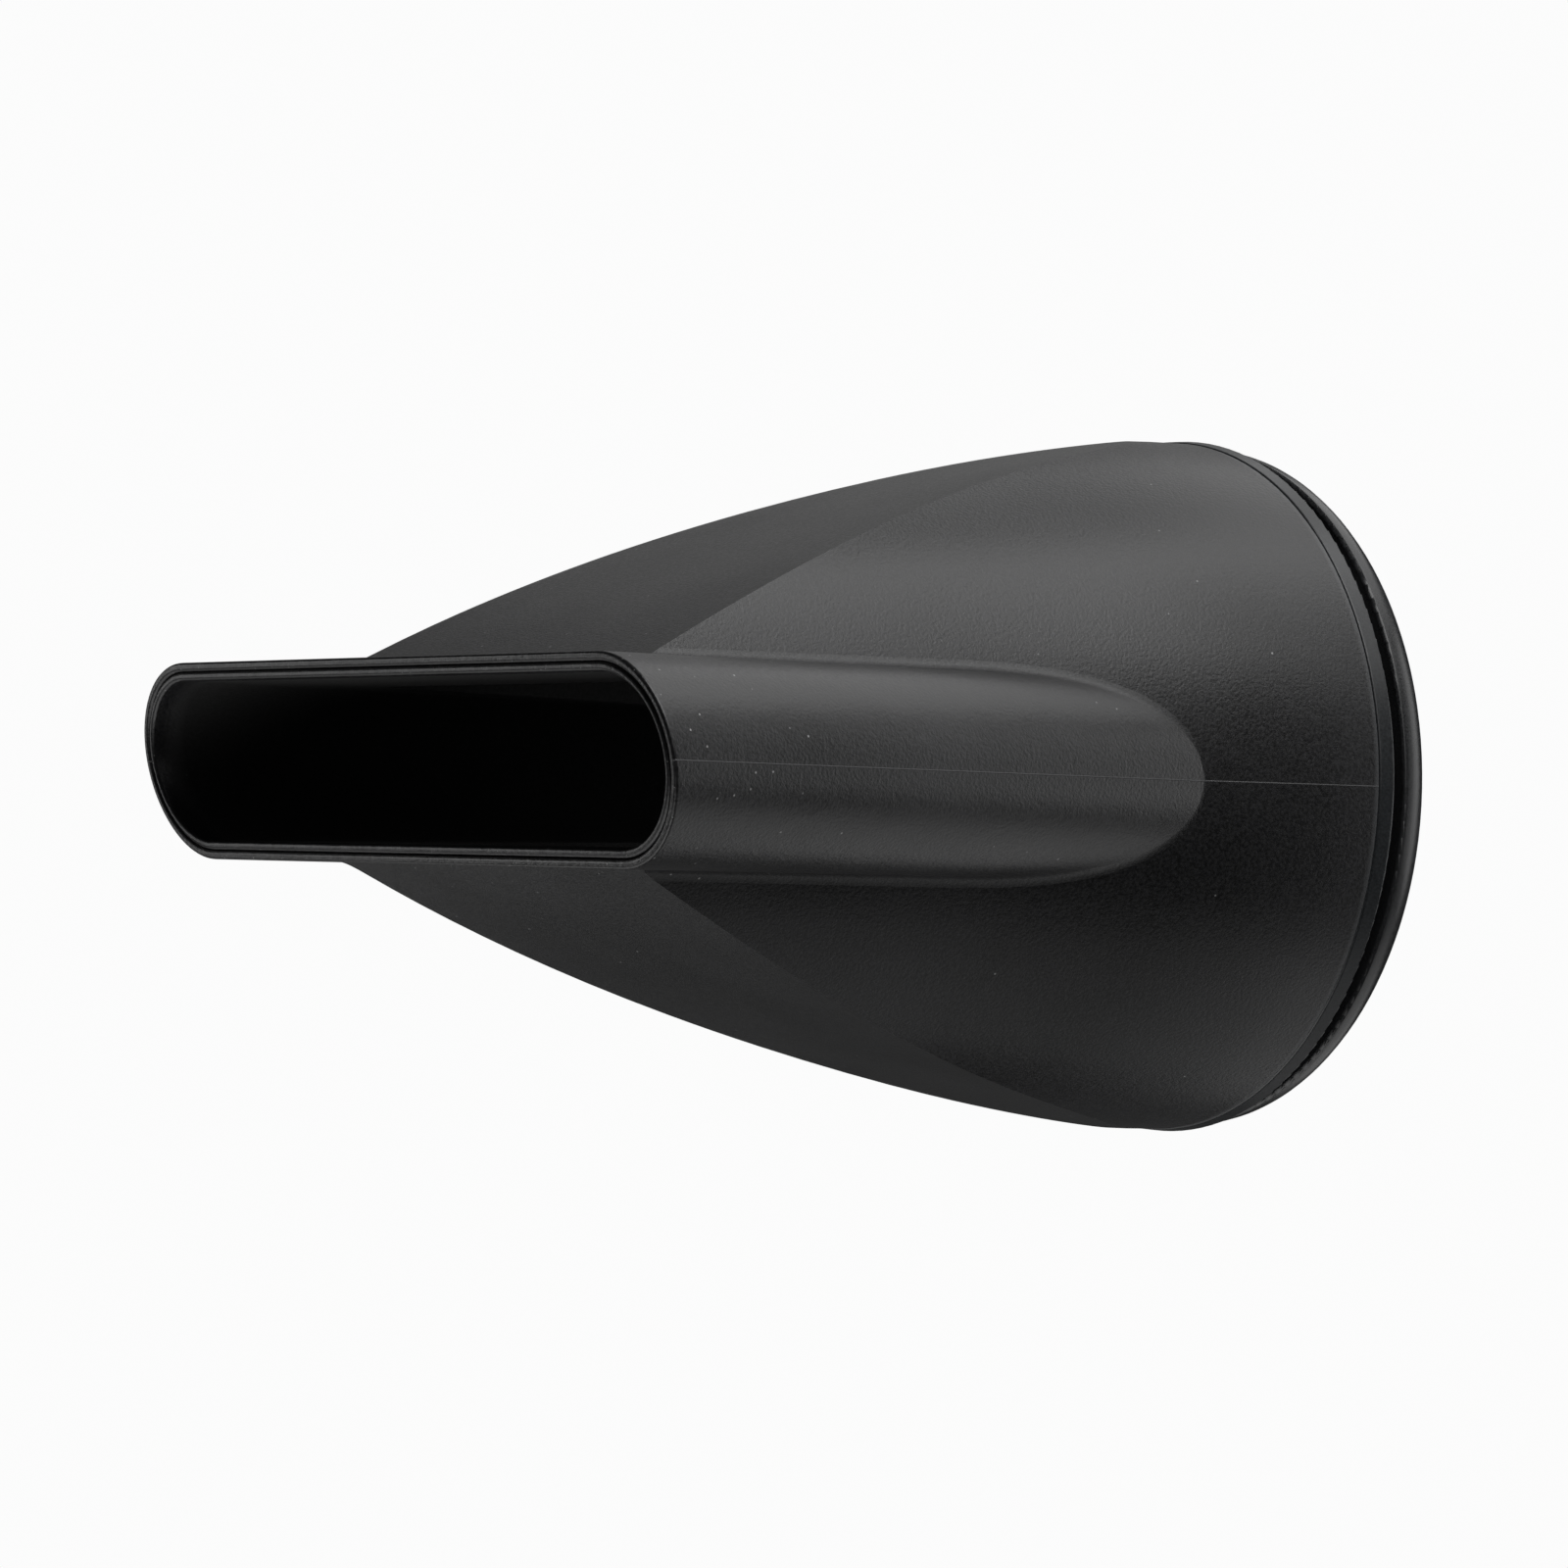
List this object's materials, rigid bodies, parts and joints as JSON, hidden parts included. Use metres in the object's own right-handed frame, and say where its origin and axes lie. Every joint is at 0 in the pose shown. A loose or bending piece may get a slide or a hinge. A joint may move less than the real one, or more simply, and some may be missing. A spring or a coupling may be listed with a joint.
{
  "type": "dust blower flat nozzle",
  "caption": "Flat, wide-mouth blower nozzle: a round bell with slanted facets runs out into a widening flat duct, and turns on a rear collar that pushes onto the blower outlet.",
  "frame": {"origin": "centre of the collar's flat rear face, which the nozzle stands on", "axes": "+Z along the nozzle's axis towards the mouth, X along the slot's length, +Y towards the upper lip, which stands further forward"},
  "size_m": [0.0848, 0.0628, 0.0899],
  "materials": {
    "shell_plastic": "fine spark-eroded grain",
    "liner_plastic": "satin",
    "band_plastic": "satin",
    "collar_plastic": "semi-gloss",
    "grip_rubber": "matte",
    "seal_rubber": "matte",
    "spring_steel": "spring-tempered, grey"
  },
  "bodies": {
    "collar": {"swivel_collar": "collar_plastic", "grip_sleeve": "grip_rubber", "seal_ring": "seal_rubber", "snap_ring": "spring_steel"},
    "nozzle": {"upper_shell": "shell_plastic", "lower_shell": "shell_plastic", "air_liner": "liner_plastic", "rim_band": "band_plastic"}
  },
  "joints": [
    {"name": "nozzle_swivel", "type": "hinge", "parent": "collar", "child": "nozzle", "pos_m": [0, 0, 0.008], "axis": [0, 0, 1], "continuous": true}
  ]
}
